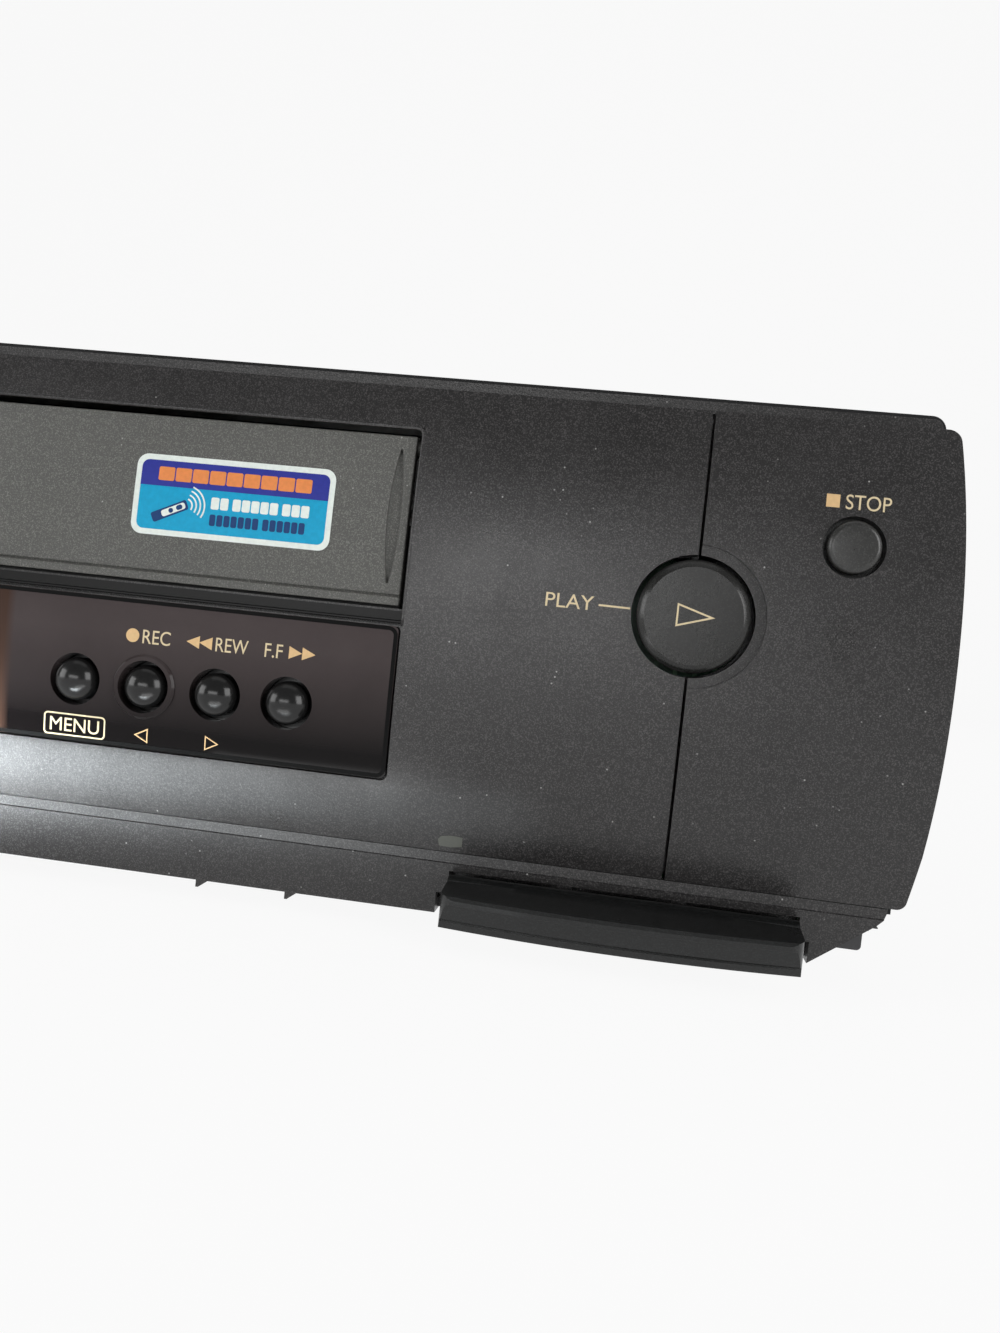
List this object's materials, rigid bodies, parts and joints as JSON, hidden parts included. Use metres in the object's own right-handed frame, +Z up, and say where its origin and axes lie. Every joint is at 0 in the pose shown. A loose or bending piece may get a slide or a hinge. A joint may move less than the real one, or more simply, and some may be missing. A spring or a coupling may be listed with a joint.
{
  "type": "video cassette recorder",
  "caption": "Front-loading video cassette recorder with a sprung slot door, smoked display window, push buttons, a hinged control flap and a working tape deck inside.",
  "frame": {"origin": "middle of the footprint, on the surface that the feet stand on", "axes": "+X to the right seen from the front, +Y from the front face into the machine, +Z up"},
  "size_m": [0.36, 0.29, 0.094],
  "materials": {
    "cover_paint": "fine-textured satin",
    "front_grey": "charcoal with fine metallic fleck",
    "door_grey": "fine-grained grey",
    "button_grey": "charcoal satin",
    "window_smoke": "polished smoked acrylic",
    "gloss_black": "polished",
    "inner_black": "plain moulded",
    "tray_plastic": "plain moulded",
    "tube_glass": "clear",
    "foot_rubber": "matt",
    "zinc_steel": "zinc-plated",
    "can_steel": "tinned sheet",
    "screw_steel": "blackened",
    "drum_aluminium": "fine-turned",
    "sink_aluminium": "plain extruded",
    "white_acetal": "natural acetal",
    "brass_part": "turned",
    "belt_rubber": "matt",
    "board_green": "solder mask on laminate",
    "board_brown": "phenolic paper laminate",
    "core_steel": "varnished laminations",
    "head_metal": "ground"
  },
  "bodies": {
    "chassis": {"top_cover": "cover_paint", "bottom_chassis": "tray_plastic", "rear_panel": "cover_paint", "front_bezel": "front_grey", "left_wing": "front_grey", "right_wing": "front_grey", "feet": "foot_rubber", "cover_screws": "screw_steel", "rear_screws": "zinc_steel", "sill_trim": "gloss_black", "display_window": "window_smoke", "display_tube": "tube_glass", "front_board": "board_green", "tact_switches": "inner_black", "deck_plate": "zinc_steel", "left_bracket": "zinc_steel", "right_bracket": "zinc_steel", "carriage_bridge": "zinc_steel", "loading_belt": "belt_rubber", "loading_motor": "can_steel", "drum_base": "drum_aluminium", "capstan_motor": "board_green", "audio_head": "head_metal", "erase_head": "head_metal", "main_board": "board_brown", "board_parts": "inner_black", "tuner_can": "can_steel", "phono_block": "inner_black", "power_board": "board_brown", "transformer": "core_steel", "heat_sink": "sink_aluminium", "mains_capacitor": "inner_black", "ac_inlet": "inner_black"},
    "door": {"cassette_door": "door_grey"},
    "flap": {"control_flap": "front_grey"},
    "play_cap": {"play_button": "button_grey"},
    "stop_cap": {"stop_button": "button_grey"},
    "power_cap": {"power_button": "button_grey"},
    "eject_cap": {"eject_button": "button_grey"},
    "menu_cap": {"menu_button": "gloss_black"},
    "rec_cap": {"rec_button": "gloss_black"},
    "rew_cap": {"rew_button": "gloss_black"},
    "ff_cap": {"ff_button": "gloss_black"},
    "down_key": {"channel_down_key": "inner_black"},
    "up_key": {"channel_up_key": "inner_black"},
    "timer_cap": {"timer_key": "inner_black"},
    "rack": {"loading_rack": "white_acetal"},
    "holder": {"cassette_holder": "zinc_steel"},
    "gear": {"loading_gear": "white_acetal"},
    "pulley": {"motor_pulley": "brass_part"},
    "drum": {"head_drum": "drum_aluminium"},
    "capstan_rotor": {"capstan": "head_metal"},
    "pinch_lever": {"pinch_arm": "zinc_steel"},
    "pinch_wheel": {"pinch_roller": "belt_rubber"},
    "supply_reel": {"supply_reel_table": "white_acetal"},
    "takeup_reel": {"takeup_reel_table": "white_acetal"},
    "supply_post": {"supply_guide": "brass_part"},
    "takeup_post": {"takeup_guide": "brass_part"}
  },
  "joints": [
    {"name": "door_hinge", "type": "hinge", "parent": "chassis", "child": "door", "pos_m": [-0.0016, -0.1317, 0.0802], "axis": [1, 0, 0], "range_deg": [0, 80], "stiffness_Nm_per_rad": 0.004},
    {"name": "flap_hinge", "type": "hinge", "parent": "chassis", "child": "flap", "pos_m": [0.13315, -0.1334, 0.0086], "axis": [-1, 0, 0], "range_deg": [0, 70]},
    {"name": "play_press", "type": "slide", "parent": "chassis", "child": "play_cap", "axis": [0, 1, 0], "range_m": [0, 0.0005], "stiffness_N_per_m": 350},
    {"name": "stop_press", "type": "slide", "parent": "chassis", "child": "stop_cap", "axis": [0, 1, 0], "range_m": [0, 0.0005], "stiffness_N_per_m": 350},
    {"name": "power_press", "type": "slide", "parent": "chassis", "child": "power_cap", "axis": [0, 1, 0], "range_m": [0, 0.0005], "stiffness_N_per_m": 350},
    {"name": "eject_press", "type": "slide", "parent": "chassis", "child": "eject_cap", "axis": [0, 1, 0], "range_m": [0, 0.0005], "stiffness_N_per_m": 350},
    {"name": "menu_press", "type": "slide", "parent": "chassis", "child": "menu_cap", "axis": [0, 1, 0], "range_m": [0, 0.0005], "stiffness_N_per_m": 350},
    {"name": "rec_press", "type": "slide", "parent": "chassis", "child": "rec_cap", "axis": [0, 1, 0], "range_m": [0, 0.0005], "stiffness_N_per_m": 350},
    {"name": "rew_press", "type": "slide", "parent": "chassis", "child": "rew_cap", "axis": [0, 1, 0], "range_m": [0, 0.0005], "stiffness_N_per_m": 350},
    {"name": "ff_press", "type": "slide", "parent": "chassis", "child": "ff_cap", "axis": [0, 1, 0], "range_m": [0, 0.0005], "stiffness_N_per_m": 350},
    {"name": "channel_down_press", "type": "slide", "parent": "chassis", "child": "down_key", "axis": [0, 1, 0], "range_m": [0, 0.0005], "stiffness_N_per_m": 350},
    {"name": "channel_up_press", "type": "slide", "parent": "chassis", "child": "up_key", "axis": [0, 1, 0], "range_m": [0, 0.0005], "stiffness_N_per_m": 350},
    {"name": "timer_press", "type": "slide", "parent": "chassis", "child": "timer_cap", "axis": [0, 1, 0], "range_m": [0, 0.0005], "stiffness_N_per_m": 350},
    {"name": "carriage_slide", "type": "slide", "parent": "chassis", "child": "rack", "axis": [0, 1, 0], "range_m": [-0.016, 0]},
    {"name": "holder_drop", "type": "slide", "parent": "rack", "child": "holder", "axis": [0, 0, -1], "range_m": [0, 0.027]},
    {"name": "gear_spin", "type": "hinge", "parent": "chassis", "child": "gear", "pos_m": [0.09705, -0.045, 0.0652], "axis": [1, 0, 0], "range_deg": [0, 116]},
    {"name": "pulley_spin", "type": "hinge", "parent": "chassis", "child": "pulley", "pos_m": [0.10045, -0.045, 0.036], "axis": [1, 0, 0], "range_deg": [0, 318]},
    {"name": "drum_spin", "type": "hinge", "parent": "chassis", "child": "drum", "pos_m": [-0.0016, 0.058, 0.028], "axis": [0, -0.104, 0.9946], "continuous": true},
    {"name": "capstan_spin", "type": "hinge", "parent": "chassis", "child": "capstan_rotor", "pos_m": [0.06, 0.024, 0.022], "axis": [0, 0, 1], "continuous": true},
    {"name": "pinch_swing", "type": "hinge", "parent": "chassis", "child": "pinch_lever", "pos_m": [0.08819, 0.04161, 0.022], "axis": [0, 0, 1], "range_deg": [0, 30], "stiffness_Nm_per_rad": 0.01},
    {"name": "pinch_roll", "type": "hinge", "parent": "pinch_lever", "child": "pinch_wheel", "pos_m": [0.06319, 0.04161, 0.022], "axis": [0, 0, 1], "continuous": true},
    {"name": "supply_reel_spin", "type": "hinge", "parent": "chassis", "child": "supply_reel", "pos_m": [-0.0479, -0.04, 0.022], "axis": [0, 0, 1], "continuous": true},
    {"name": "takeup_reel_spin", "type": "hinge", "parent": "chassis", "child": "takeup_reel", "pos_m": [0.0447, -0.04, 0.022], "axis": [0, 0, 1], "continuous": true},
    {"name": "supply_guide_run", "type": "slide", "parent": "chassis", "child": "supply_post", "axis": [-0.207, 0.9783, 0], "range_m": [0, 0.05315]},
    {"name": "takeup_guide_run", "type": "slide", "parent": "chassis", "child": "takeup_post", "axis": [0.207, 0.9783, 0], "range_m": [0, 0.05315]}
  ],
  "couplings": [
    {"joint": "gear_spin", "follows": "carriage_slide", "rad_per_m": -125},
    {"joint": "pulley_spin", "follows": "carriage_slide", "rad_per_m": -343.75},
    {"joint": "takeup_guide_run", "follows": "supply_guide_run", "ratio": 1}
  ]
}
